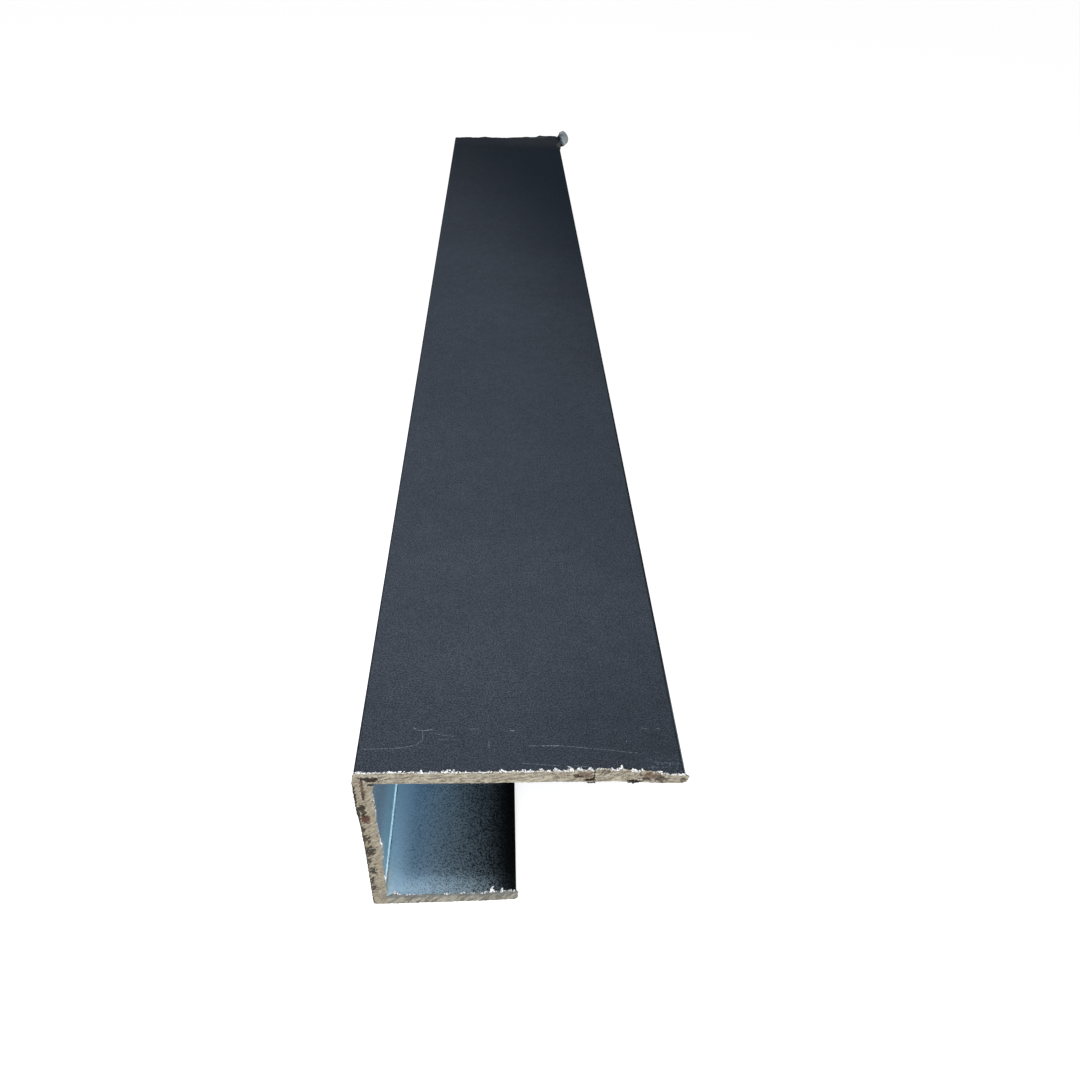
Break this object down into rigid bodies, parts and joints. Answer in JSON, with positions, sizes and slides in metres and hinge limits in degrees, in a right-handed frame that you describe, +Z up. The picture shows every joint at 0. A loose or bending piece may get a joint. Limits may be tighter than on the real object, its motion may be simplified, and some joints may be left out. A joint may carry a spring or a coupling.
{
  "type": "aluminium extrusion profile",
  "caption": "Short length of dark powder-coated aluminium channel with one wide and one narrow flange, sawn at both ends.",
  "frame": {"origin": "centre of the short flange's underside, half-way along the length", "axes": "+Y along the length, +Z up from the short flange to the wide flange, +X from the web to the open side"},
  "size_m": [0.0442, 0.3, 0.0327],
  "materials": {
    "powder_coat": "satin"
  },
  "bodies": {
    "root": {"channel_profile": "powder_coat"}
  },
  "joints": []
}
